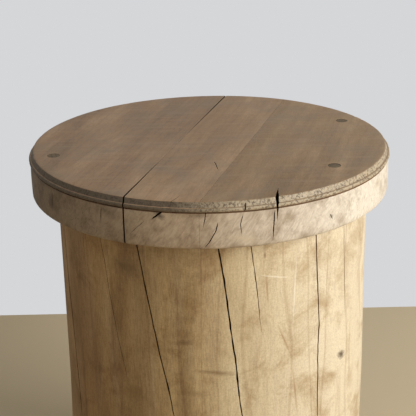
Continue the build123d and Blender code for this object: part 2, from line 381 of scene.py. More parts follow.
def wood_base(name, turn, stretch, tones, shift, ring_mm, pith, axis, ring_depth=0.3, fleck_depth=0.38):
    """Wood in the piece's own space: slow tones, growth rings and fine fibres along the grain."""
    material = bpy.data.materials.new(name)
    material.use_nodes = True
    tree = material.node_tree
    tree.nodes.clear()
    place = add_node(tree, "ShaderNodeTexCoord").outputs["Object"]
    grain = add_node(
        tree,
        "ShaderNodeMapping",
        {"vector_type": "TEXTURE", "Location": shift, "Rotation": turn, "Scale": stretch},
        {"Vector": place},
    ).outputs[0]
    slow = add_node(
        tree,
        "ShaderNodeTexNoise",
        {"Scale": 26.0, "Detail": 7.0, "Roughness": 0.62, "Distortion": 0.5},
        {"Vector": grain},
    ).outputs["Fac"]
    ramp = add_node(tree, "ShaderNodeValToRGB", {}, {"Fac": slow})
    ramp.color_ramp.elements[0].position = 0.30
    ramp.color_ramp.elements[0].color = linear(tones[0])
    ramp.color_ramp.elements[1].position = 0.72
    ramp.color_ramp.elements[1].color = linear(tones[2])
    ramp.color_ramp.elements.new(0.50).color = linear(tones[1])
    from_pith = add_node(
        tree,
        "ShaderNodeMapping",
        {"vector_type": "TEXTURE", "Location": pith},
        {"Vector": grain},
    ).outputs[0]
    rings = add_node(
        tree,
        "ShaderNodeTexWave",
        {
            "wave_type": "RINGS",
            "rings_direction": axis,
            "Scale": math.tau / (20 * ring_mm * MM),
            "Distortion": 5.0,
            "Detail": 3.0,
            "Detail Scale": 0.35,
        },
        {"Vector": from_pith},
    ).outputs["Fac"]
    ringed = tinted(tree, ramp.outputs[0], rings, 0.72, 1.0, ring_depth, tones[3])
    fibres = add_node(
        tree,
        "ShaderNodeTexNoise",
        {"Scale": 620.0, "Detail": 3.0, "Roughness": 0.7},
        {"Vector": grain},
    ).outputs["Fac"]
    colour = tinted(tree, ringed, fibres, 0.42, 0.68, fleck_depth, tones[3])
    return material, tree, place, grain, colour, fibres


def seal(tree, colour, height, roughness, relief_mm):
    """Ends a material: waxed wood over a fine relief."""
    bump = add_node(
        tree,
        "ShaderNodeBump",
        {"Strength": 0.6, "Distance": relief_mm * MM},
        {"Height": height},
    ).outputs[0]
    shader = add_node(
        tree,
        "ShaderNodeBsdfPrincipled",
        {"Roughness": roughness, "IOR": 1.48},
        {"Base Color": colour, "Normal": bump},
    )
    add_node(tree, "ShaderNodeOutputMaterial", {}, {"Surface": shader.outputs[0]})


def stained(tree, place, colour, tint, centre, turn, size, strength):
    """Lays a soft-edged stain or knot of a tint over a colour."""
    local = add_node(
        tree,
        "ShaderNodeMapping",
        {"vector_type": "TEXTURE", "Location": centre, "Rotation": turn, "Scale": size},
        {"Vector": place},
    ).outputs[0]
    ragged = add_node(
        tree, "ShaderNodeTexNoise", {"Scale": 2.4, "Detail": 4.0}, {"Vector": local}
    ).outputs["Fac"]
    reach = add_node(
        tree, "ShaderNodeVectorMath", {"operation": "LENGTH"}, {0: local}
    ).outputs["Value"]
    edge = add_node(tree, "ShaderNodeMath", {"operation": "ADD"}, {0: reach, 1: ragged}).outputs[0]
    return tinted(tree, colour, edge, 1.5, 0.7, strength, tint, "MIX")


def waxed_log():
    """Poplar that was shaved and waxed: browner to the left and paler straw to the right, partly its own
    patina and partly painted shade on the left and painted light on the right.
    """
    tones = ("bc9f72", "d2b887", "e2cfa8", "8a7050")
    material, tree, place, grain, colour, fibres = wood_base(
        "waxed poplar log", (0, 0, 0), (1, 1, 8), tones, (0, 0, 0), 9.0, (0, 0, 0), "Z", fleck_depth=0.34
    )
    towards_lit_side = add_node(tree, "ShaderNodeSeparateXYZ", {}, {"Vector": place}).outputs["X"]
    # Painted shade and light, partly patina: browner towards the left, away from the window, and paler
    # towards the lit right
    colour = tinted(tree, colour, towards_lit_side, 0.05, -0.15, 0.8, "c6a98a")
    colour = tinted(tree, colour, towards_lit_side, -0.03, 0.13, 0.72, "e6dac0", "MIX")
    bands = add_node(
        tree,
        "ShaderNodeTexNoise",
        {"Scale": 60.0, "Detail": 5.0, "Roughness": 0.6, "Distortion": 0.8},
        {"Vector": grain},
    ).outputs["Fac"]
    colour = tinted(tree, colour, bands, 0.56, 0.72, 0.4, "b59a72")
    smudges = add_node(
        tree,
        "ShaderNodeTexNoise",
        {"Scale": 17.0, "Detail": 7.0, "Roughness": 0.7, "Distortion": 0.4},
        {"Vector": place},
    ).outputs["Fac"]
    colour = tinted(tree, colour, smudges, 0.50, 0.66, 0.62, "bca27a")
    winding = add_node(
        tree,
        "ShaderNodeTexWave",
        {
            "wave_type": "BANDS",
            "bands_direction": "X",
            "Scale": 9.0,
            "Distortion": 16.0,
            "Detail": 3.0,
            "Detail Scale": 0.9,
            "Detail Roughness": 0.6,
        },
        {"Vector": grain},
    ).outputs["Fac"]
    colour = tinted(tree, colour, winding, 0.95, 1.0, 0.24, "a98658")
    fuzz = add_node(
        tree,
        "ShaderNodeTexNoise",
        {"Scale": 520.0, "Detail": 3.0, "Roughness": 0.8},
        {"Vector": place},
    ).outputs["Fac"]
    colour = tinted(tree, colour, fuzz, 0.42, 0.72, 0.40, "ad9672")
    for azimuth, below, wide, tall, lean, tint, strength in LOG_STAINS:
        centre = side_point(azimuth, below * MM, LOG_RADIUS)
        turn = (0, math.radians(lean), math.radians(azimuth))
        size = (wide * MM, STAIN_DEPTH, tall * MM)
        colour = stained(tree, place, colour, tint, centre, turn, size, strength)
    seal(tree, colour, fibres, 0.58, 0.35)
    return material


def dark_check(name, surface_radius):
    """The inside of a check: brown wood at its mouth, and painted shade that is almost black deeper in."""
    material = bpy.data.materials.new(name)
    material.use_nodes = True
    tree = material.node_tree
    shader = tree.nodes["Principled BSDF"]
    shader.inputs["Roughness"].default_value = 0.95
    shader.inputs["Specular IOR Level"].default_value = 0.1
    place = add_node(tree, "ShaderNodeTexCoord").outputs["Object"]
    level = add_node(
        tree, "ShaderNodeVectorMath", {"operation": "MULTIPLY", 1: (1, 1, 0)}, {0: place}
    ).outputs[0]
    reach = add_node(
        tree, "ShaderNodeVectorMath", {"operation": "LENGTH"}, {0: level}
    ).outputs["Value"]
    depth = add_node(
        tree,
        "ShaderNodeMapRange",
        {"From Min": surface_radius - 3.5 * MM, "From Max": surface_radius + 0.5 * MM},
        {"Value": reach},
    ).outputs[0]
    # Painted shade: almost black deep in the check, brown wood at its mouth
    colour = add_node(
        tree,
        "ShaderNodeMix",
        {"data_type": "RGBA", 6: linear("21180f"), 7: linear("84623d")},
        {0: depth},
    ).outputs[2]
    tree.links.new(colour, shader.inputs["Base Color"])
    return material


# Marks on the log: degrees round, millimetres below the lid's top, half width, half height,
# lean, tint and strength
STAIN_DEPTH = 40 * MM
LOG_STAINS = (
    (52.6, 241, 11, 7, 25, "4a3423", 0.9),
    (1.0, 222, 30, 4, 6, "73552f", 0.6),
    (-10.1, 184, 14, 5, -8, "6a4c2b", 0.6),
    (-30.0, 262, 20, 14, 0, "75562f", 0.45),
    (-30.0, 98, 30, 16, 0, "5d4429", 0.5),
    (-8.0, 250, 26, 5, 0, "7a5c36", 0.4),
    (-6.0, 120, 16, 22, 0, "8a6a40", 0.3),
    (47.0, 262, 16, 6, 30, "9b7c52", 0.5),
    (60.0, 285, 14, 20, 0, "a4845a", 0.4),
    (17.8, 78, 1.5, 5, 0, "6d4c2b", 0.7),
    (18.6, 122, 1.6, 26, -4, "9b744a", 0.6),
    (25.0, 190, 1.8, 28, -22, "9b744a", 0.6),
    (29.4, 262, 1.8, 36, -6, "9b744a", 0.6),
    (29.0, 130, 1.4, 52, 3, "efe6d2", 0.55),
    (22.0, 107, 24, 1.4, 14, "f2e8d2", 0.6),
    (-58.0, 200, 22, 60, 0, "7d5d39", 0.3),
)

outer_wall = [(LOG_RADIUS, z) for z in steps(LOG_FOOT_CHAMFER, LOG_TOP, LOG_ROWS)]
rim = [(r, LOG_TOP) for r in steps(LOG_RADIUS, MOUTH_RADIUS, 4)]
inner_wall = [(MOUTH_RADIUS, z) for z in steps(LOG_TOP, BASE_TOP, 30)]
foot = [
    (MOUTH_RADIUS, BASE_TOP),
    (BASE_SEAT_RADIUS, BASE_TOP),
    (BASE_SEAT_RADIUS, 0),
    (LOG_RADIUS - LOG_FOOT_CHAMFER, 0),
]


def log_surface(azimuth, radius, height):
    """A point of the log, with the swellings of a real trunk and adze marks inside."""
    angle = math.radians(azimuth)
    around = Vector((math.sin(angle), -math.cos(angle), 0))
    shift = 0.0
    swell = 0.0
    if radius > BASE_SEAT_RADIUS + 1 * MM and height > LOG_FOOT_CHAMFER:
        swell = 0.9 * noise.noise(around * 2.1 + Vector((0, 0, height * 4)))
        swell += 0.35 * noise.noise(around * 9 + Vector((7, 0, height * 9)))
        shift = LOG_LEAN * min(1.0, max(0.0, (height - 0.10) / 0.15))
    elif abs(radius - MOUTH_RADIUS) < 1e-9 and BASE_TOP < height < LOG_TOP:
        swell = 1.1 * noise.noise(around * 11 + Vector((0, 3, height * 30)))
    reach = radius + swell * MM
    return (around.x * reach + shift, around.y * reach, height)


log_wood = waxed_log()
check_shade = dark_check("painted shade in a log check", LOG_RADIUS)
log = bpy.data.objects.new(
    "log", turned("log", outer_wall + rim + inner_wall + foot, LOG_COLUMNS, log_surface)
)
bpy.context.collection.objects.link(log)
log.data.materials.append(log_wood)

checks = bmesh.new()
for number, (width, depth, points) in enumerate(FRONT_CHECKS):
    add_log_check(checks, points, width, depth, number)
draw = random.Random(BACK_CHECK_SEED)
for number, azimuth in enumerate(BACK_CHECK_ANGLES):
    start = draw.uniform(52, 90)
    length = draw.uniform(90, 400)
    lean = draw.uniform(0.02, 0.05)
    bow = draw.uniform(-1.0, 1.0)
    points = [
        (start + length * t, azimuth + lean * length * t + bow * math.sin(math.pi * t))
        for t in (0, 0.25, 0.5, 0.75, 1)
    ]
    width = draw.uniform(0.6, 2.4)
    depth = BACK_CHECK_DEPTH_BY_WIDTH * width
    add_log_check(checks, points, width, depth, BACK_CHECK_NOISE + number, from_edge=False)
for angle in BASE_PEG_ANGLES:
    out = level_direction(angle)
    centre = out * (LOG_RADIUS + BASE_SEAT_RADIUS) / 2 + Vector((0, 0, BASE_PEG_HEIGHT))
    add_bore(checks, centre, out, PEG_HOLE_RADIUS, PEG_BORE_LENGTH)
cut(log, checks, check_shade)
shade(log)
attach(log, "churn")
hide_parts("trunk")

# ---------------------------------------------------------------------------
# The base. Three sawn boards, dowelled edge to edge, let in from below on a
# ledge. They keep their sawn faces, greyed by damp floors.
# ---------------------------------------------------------------------------
BASE_TONES = ("7d654a", "917657", "a68b69", "5f4a33")


def plain_wood(name, turn, stretch, tones, roughness=0.7, shift=(0, 0, 0), pith=(0, 0, -0.2), axis="Y"):
    """Wood with no finish but its own surface."""
    material, tree, place, grain, colour, fibres = wood_base(
        name, turn, stretch, tones, shift, 5.0, pith, axis
    )
    seal(tree, colour, fibres, roughness, 0.3)
    return material


def dress(node, material):
    """Gives a CAD node its material."""
    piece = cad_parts[node]
    piece.data.materials.clear()
    piece.data.materials.append(material)


for number, side in enumerate(("left", "middle", "right")):
    # Each board is cut from another part of the same wood
    part_of_tree = (0.13 * number, 0.4 * number, 0)
    board = plain_wood(
        f"sawn pine base {side}", (0, 0, 0), (1, 12, 1), BASE_TONES, 0.8, part_of_tree
    )
    dress(f"base_board_{side}", board)
dress("base_dowels", plain_wood("cleft oak dowel", (0, 0, 0), (10, 1, 1), BASE_TONES))

# ---------------------------------------------------------------------------
# The pegs. Whittled from dry oak, driven from outside through the log into
# the base, and through the battens into the lid, then trimmed nearly flush.
# ---------------------------------------------------------------------------
PEG_STAND = 0.6 * MM
PEG_RADIUS = 6 * MM
PEG_INNER_END = 132 * MM
LOG_SWELLING = 1.5 * MM
KNIFE_MARKS = 0.25 * MM
PEG_TONES = ("4d3925", "624a30", "7a5f40", "37281a")


def peg_nodes():
    """A tree that whittles a peg at each point, along the point's aim."""
    tree = bpy.data.node_groups.new("whittled pegs", "GeometryNodeTree")
    tree.interface.new_socket("Places", in_out="INPUT", socket_type="NodeSocketGeometry")
    for name in ("Radius", "Length", "Roughness"):
        tree.interface.new_socket(name, in_out="INPUT", socket_type="NodeSocketFloat")
    tree.interface.new_socket("Seed", in_out="INPUT", socket_type="NodeSocketInt")
    tree.interface.new_socket("Wood", in_out="INPUT", socket_type="NodeSocketMaterial")
    tree.interface.new_socket("Pegs", in_out="OUTPUT", socket_type="NodeSocketGeometry")
    given = add_node(tree, "NodeGroupInput").outputs
    aim = add_node(
        tree, "GeometryNodeInputNamedAttribute", {"data_type": "FLOAT_VECTOR", "Name": "aim"}
    ).outputs[0]
    facing = add_node(
        tree, "FunctionNodeAlignRotationToVector", {"axis": "Z"}, {"Vector": aim}
    ).outputs[0]
    blank = add_node(
        tree,
        "GeometryNodeMeshCylinder",
        {"Vertices": 18, "Side Segments": 10},
        {"Radius": given["Radius"], "Depth": given["Length"]},
    ).outputs["Mesh"]
    points = add_node(tree, "GeometryNodeMeshToPoints", {}, {"Mesh": given["Places"]}).outputs[0]
    copies = add_node(
        tree,
        "GeometryNodeInstanceOnPoints",
        {},
        {"Points": points, "Instance": blank, "Rotation": facing},
    ).outputs[0]
    real = add_node(tree, "GeometryNodeRealizeInstances", {}, {"Geometry": copies}).outputs[0]
    where = add_node(tree, "GeometryNodeInputPosition").outputs[0]
    seed = add_node(tree, "ShaderNodeCombineXYZ", {}, {"Z": given["Seed"]}).outputs[0]
    moved = add_node(
        tree, "ShaderNodeVectorMath", {"operation": "ADD"}, {0: where, 1: seed}
    ).outputs[0]
    knife = add_node(
        tree, "ShaderNodeTexNoise", {"Scale": 110.0, "Detail": 1.0}, {"Vector": moved}
    ).outputs["Color"]
    centred = add_node(
        tree,
        "ShaderNodeVectorMath",
        {"operation": "SUBTRACT", 1: (0.5, 0.5, 0.5)},
        {0: knife},
    ).outputs[0]
    offset = add_node(
        tree,
        "ShaderNodeVectorMath",
        {"operation": "SCALE"},
        {0: centred, "Scale": given["Roughness"]},
    ).outputs[0]
    cut_pegs = add_node(
        tree, "GeometryNodeSetPosition", {}, {"Geometry": real, "Offset": offset}
    ).outputs[0]
    clad = add_node(
        tree, "GeometryNodeSetMaterial", {}, {"Geometry": cut_pegs, "Material": given["Wood"]}
    ).outputs[0]
    add_node(tree, "NodeGroupOutput", {}, {"Pegs": clad})
    return tree


def whittled_pegs(name, tree, places, radius, length, seed, wood):
    """Pegs of one size at the places, each a centre and an aim."""
    mesh = bpy.data.meshes.new(name)
    mesh.from_pydata([tuple(centre) for centre, aim in places], [], [])
    aims = mesh.attributes.new("aim", "FLOAT_VECTOR", "POINT")
    for i, (centre, aim) in enumerate(places):
        aims.data[i].vector = aim
    starter = bpy.data.objects.new(name + "_places", mesh)
    bpy.context.collection.objects.link(starter)
    modifier = starter.modifiers.new("pegs", "NODES")
    modifier.node_group = tree
    sockets = {item.name: item.identifier for item in tree.interface.items_tree if item.in_out == "INPUT"}
    modifier[sockets["Radius"]] = radius
    modifier[sockets["Length"]] = length
    modifier[sockets["Roughness"]] = KNIFE_MARKS
    modifier[sockets["Seed"]] = seed
    modifier[sockets["Wood"]] = wood
    bpy.context.view_layer.update()
    evaluated = starter.evaluated_get(bpy.context.evaluated_depsgraph_get())
    pegs = bpy.data.objects.new(name, bpy.data.meshes.new_from_object(evaluated))
    bpy.context.collection.objects.link(pegs)
    bpy.data.objects.remove(starter)
    if not pegs.data.materials:
        pegs.data.materials.append(wood)
    shade(pegs)
    return pegs


def end_grain(name, tones):
    """Oak cut across: short dark pores with no direction."""
    return plain_wood(name, (0, 0, 0), (1, 1, 1), tones, 0.75, pith=(0, 0, 0), axis="Z")


peg_tree = peg_nodes()
peg_length = LOG_RADIUS + PEG_STAND + LOG_SWELLING - PEG_INNER_END
base_peg_places = []
for angle in BASE_PEG_ANGLES:
    out = level_direction(angle)
    centre = out * (PEG_INNER_END + peg_length / 2) + Vector((0, 0, BASE_PEG_HEIGHT))
    base_peg_places.append((centre, out))
base_pegs = whittled_pegs(
    "base_trenails", peg_tree, base_peg_places, PEG_RADIUS, peg_length, 3, end_grain("oak trenail", PEG_TONES)
)
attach(base_pegs, "churn")
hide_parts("base_pegs")

# ---------------------------------------------------------------------------
# The lid. Three thick planks, dowelled edge to edge, sawn round, and moulded
# with a bevel over a bead. One joint has opened at both its ends, the end
# grain at the front has split, and the bead is chipped, with painted light making it pale on the right and
# painted shade making it dark on the left.
# ---------------------------------------------------------------------------
LID_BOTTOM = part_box("lid_plank_middle")[0].z
LID_RADIUS = 225 * MM
GRAIN_TURN = 16.2
OPEN_JOINT = -36 * MM
TIGHT_JOINT = 50 * MM
LID_COLUMNS = 720
ALONG_GRAIN = level_direction(90 - GRAIN_TURN)
ACROSS_GRAIN = Vector((ALONG_GRAIN.y, -ALONG_GRAIN.x, 0))
PLUG_PLACES = ((-36.2, 44), (24.2, 32), (-166.4, 29.5))
PLUG_RADIUS = 7.5 * MM
PLUG_DEPTH = 12 * MM
PLUG_HOLE_CLEARANCE = 0.15 * MM
UP = Vector((0, 0, 1))
AXIS_WELL = 2 * MM
EDGE_START = 216.5 * MM
JOINT_REACH = 240 * MM
JOINT_CUT_ABOVE = 3 * MM
JOINT_CUT_BELOW = 58 * MM
JOINT_STEPS = 48
TIGHT_FROM = -85 * MM
TIGHT_TO = 20 * MM
OPENS_OVER = (120 * MM, 200 * MM)

# Radius and distance below the top, in millimetres, from the top's arris to the underside
BEAD_RADIUS = 2.45
BEAD_CENTRE = (222.5, 8.9)
BEAD_FOOT = (11.2, 10.4)
QUIRK_MIDDLE = 11.9
BAND_START = 14
BAND_HEIGHT = 37
arris = [(217.6, 0.0), (218.9, 0.15), (219.8, 0.7)]
bevel = [(220.4, 2.4), (221.2, 4.4), (221.9, 5.9), (222.2, 6.5)]
bead = [
    (
        BEAD_CENTRE[0] + BEAD_RADIUS * math.cos(math.radians(a)),
        BEAD_CENTRE[1] - BEAD_RADIUS * math.sin(math.radians(a)),
    )
    for a in (64, 40, 16, -8, -32, -56, -78)
]
quirk = [(222.0, 11.6), (222.1, 12.2), (223.3, 12.9)]
band = [
    (223.75 + 0.25 * math.sin(math.pi * t), BAND_START + BAND_HEIGHT * t) for t in steps(0, 1, 9)
]
lower_edge = [(223.7, 51.5), (223.0, 53.4), (221.4, 54.7), (220.0, 55.0)]
edge_profile = arris + bevel + bead + quirk + band + lower_edge


def lid_point(across, along, below):
    """A point of the lid, in metres across and along the grain, and below its top."""
    return ACROSS_GRAIN * across + ALONG_GRAIN * along + Vector((0, 0, LID_TOP - below))


def rubbing(azimuth):
    """How much the bead is rubbed and chipped: most at the front right."""
    turn = azimuth if azimuth < 180 else azimuth - 360
    if 36 < turn < 70:
        return 1.0
    return 0.62 if -8 < turn <= 36 else 0.4


def lid_surface(azimuth, radius, height):
    """A point of the lid, with wear on its top and chips along the bead."""
    angle = math.radians(azimuth)
    around = Vector((math.sin(angle), -math.cos(angle), 0))
    below = (LID_TOP - height) / MM
    reach = radius
    drop = 0.0
    if below < 0.5:
        place = around * radius
        drop = 0.30 * (0.5 + noise.noise(Vector((place.x * 9, place.y * 6, 2))))
    if radius > EDGE_START and below < BAND_START:
        bead_by_side = rubbing(azimuth)
        chip = noise.noise(around * 30 + Vector((0, 0, below / 5)))
        chip = max(0.0, chip - 0.28) * 4.2 * bead_by_side
        nick = max(0.0, noise.noise(around * 88 + Vector((4, 0, below / 3))) - 0.32) * 1.7 * bead_by_side
        wave = 0.25 * noise.noise(around * 5 + Vector((0, 9, 0)))
        reach -= (min(chip, 1.5) + min(nick, 0.7) - min(0.0, wave)) * MM
    elif radius > EDGE_START:
        rough = abs(around.dot(ALONG_GRAIN))
        reach -= 0.22 * rough * (1 + noise.noise(around * 70 + Vector((0, 0, below / 16)))) * MM
        reach -= 0.3 * (1 + noise.noise(around * 4 + Vector((3, 3, below / 70)))) * MM
    return (around.x * reach, around.y * reach, height - drop * MM)


top_radii = (AXIS_WELL / MM, 20, 50, 80, 110, 135, 155, 172, 187, 200, 210)
top_rings = [(r * MM, LID_TOP) for r in top_radii]
edge_rings = [(r * MM, LID_TOP - below * MM) for r, below in edge_profile]
bottom_rings = [(r * MM, LID_BOTTOM) for r in (190, 100, AXIS_WELL / MM)]
disc = bpy.data.objects.new(
    "lid_disc",
    turned("lid_disc", top_rings + edge_rings + bottom_rings, LID_COLUMNS, lid_surface),
)
bpy.context.collection.objects.link(disc)


def close_centre(mesh_data):
    """Removes the narrow well at the axis, and closes the top and the underside."""
    mesh = bmesh.new()
    mesh.from_mesh(mesh_data)
    well = [f for f in mesh.faces if all(v.co.xy.length < 1.5 * AXIS_WELL for v in f.verts)]
    bmesh.ops.delete(mesh, geom=well, context="FACES")
    loose = [v for v in mesh.verts if not v.link_faces]
    bmesh.ops.delete(mesh, geom=loose, context="VERTS")
    bmesh.ops.holes_fill(mesh, edges=[e for e in mesh.edges if e.is_boundary], sides=0)
    bmesh.ops.recalc_face_normals(mesh, faces=mesh.faces)
    mesh.to_mesh(mesh_data)
    mesh.free()


close_centre(disc.data)


def joint_width(along, widest, tight):
    """How far a joint has opened: tight in the middle, wide at the rim."""
    near = max(0.0, (TIGHT_FROM - along) / OPENS_OVER[0])
    far = max(0.0, (along - TIGHT_TO) / OPENS_OVER[1])
    return tight + (widest - tight) * min(1.0, max(near, far) ** 0.8)


def add_joint(mesh, across, widest, tight):
    """Adds the thin parting between two planks, right through the lid."""
    rows = []
    for i in range(JOINT_STEPS + 1):
        along = -JOINT_REACH + 2 * JOINT_REACH * i / JOINT_STEPS
        wander = across + 0.25 * MM * noise.noise(Vector((across * 50, along * 14, 0)))
        edge = joint_width(along, widest, tight) / 2
        corners = (
            (-edge, -JOINT_CUT_ABOVE),
            (edge, -JOINT_CUT_ABOVE),
            (edge, JOINT_CUT_BELOW),
            (-edge, JOINT_CUT_BELOW),
        )
        rows.append([mesh.verts.new(lid_point(wander + a, along, below)) for a, below in corners])
    add_bar(mesh, rows)


# Splits in the lid's top: width and greatest depth in millimetres, whether the split runs out
# through the edge, then x and y in millimetres from its inner end
TOP_SPLIT_STEPS = 10
TOP_SPLITS = (
    (4.4, 27, True, ((75.5, -181), (74.4, -190), (73.2, -201), (72.6, -212), (71.6, -230))),
    (1.5, 3, False, ((5.4, -81), (7.4, -92), (8.6, -104), (10.4, -118))),
    (0.9, 8, True, ((-30.5, -193), (-37, -206), (-46, -221), (-52, -230))),
)
# Splits in the lid's edge: width and depth, then degrees round and millimetres below the top
EDGE_SPLIT_STEPS = 8
EDGE_CUT_CLEARANCE = 2 * MM
EDGE_SPLITS = (
    (1.0, 7, ((-1.4, 10), (-1.7, 19), (-2.3, 29))),
    (1.3, 9, ((1.9, 23), (1.3, 33), (-0.6, 46), (-2.6, 56))),
    (1.7, 8, ((9.8, 2), (9.6, 8), (9.3, 12))),
    (1.0, 7, ((9.0, 15), (8.2, 26), (8.6, 41))),
    (3.8, 7, ((-13.6, 11), (-15.2, 16), (-17.0, 22))),
    (0.8, 5, ((-19.0, 24), (-21.5, 33), (-23.6, 41))),
    (1.6, 8, ((18.2, 14), (17.9, 30), (17.6, 50))),
    (1.0, 5, ((36.6, 32), (37.4, 37), (38.0, 41))),
    (1.0, 6, ((-33.0, 16), (-33.3, 33))),
    (0.9, 6, ((-55.0, 18), (-55.5, 40))),
    (0.9, 8, ((172.0, 12), (171.5, 40))),
    (1.4, 9, ((201.0, 10), (201.4, 50))),
    (0.8, 6, ((186.0, 20), (187.0, 48))),
)

splits = bmesh.new()
add_joint(splits, OPEN_JOINT, 1.9 * MM, 0.16 * MM)
add_joint(splits, TIGHT_JOINT, 0.2 * MM, 0.12 * MM)
for number, (width, depth, runs_out, points) in enumerate(TOP_SPLITS):
    count = TOP_SPLIT_STEPS * (len(points) - 1)
    mouths, roots, sides, widths = [], [], [], []
    for i in range(count + 1):
        share = i / count
        x, y = (v * MM for v in point_along(points, share))
        jitter = 0.5 * MM * noise.noise(Vector((number, share * 9, 3)))
        opening = min(1.0, 1.5 * share + 0.03) if runs_out else taper(share)
        mouths.append(Vector((x + jitter, y, LID_TOP + CUT_CLEARANCE)))
        roots.append(Vector((x + jitter, y, LID_TOP - depth * opening**1.5 * MM)))
        sides.append(ACROSS_GRAIN)
        uneven = 1 + 0.4 * noise.noise(Vector((number, share * 14, 8)))
        widths.append(max(0.15, width * opening * uneven) * MM)
    add_blade(splits, mouths, roots, sides, widths)
for number, (width, depth, points) in enumerate(EDGE_SPLITS):
    count = EDGE_SPLIT_STEPS * (len(points) - 1)
    mouths, roots, sides, widths = [], [], [], []
    for i in range(count + 1):
        share = i / count
        azimuth, below = point_along(points, share)
        azimuth += 0.12 * noise.noise(Vector((number, share * 11, 21)))
        opening = min(1.0, 6 * share + 0.2, 3.2 * (1 - share) + 0.05)
        mouths.append(side_point(azimuth, below * MM, LID_RADIUS + EDGE_CUT_CLEARANCE))
        roots.append(side_point(azimuth, below * MM, LID_RADIUS - (1.5 + depth * opening) * MM))
        sides.append(level_direction(azimuth))
        uneven = 1 + 0.4 * noise.noise(Vector((number, share * 12, 33)))
        widths.append(max(0.15, 1.2 * width * opening * uneven) * MM)
    add_blade(splits, mouths, roots, sides, widths)
plug_centres = []
for angle, inset in PLUG_PLACES:
    out = level_direction(angle)
    centre = out * (LID_RADIUS - inset * MM) + Vector((0, 0, LID_TOP))
    plug_centres.append(centre)
    add_bore(splits, centre, UP, PLUG_RADIUS + PLUG_HOLE_CLEARANCE, 2 * PLUG_DEPTH)


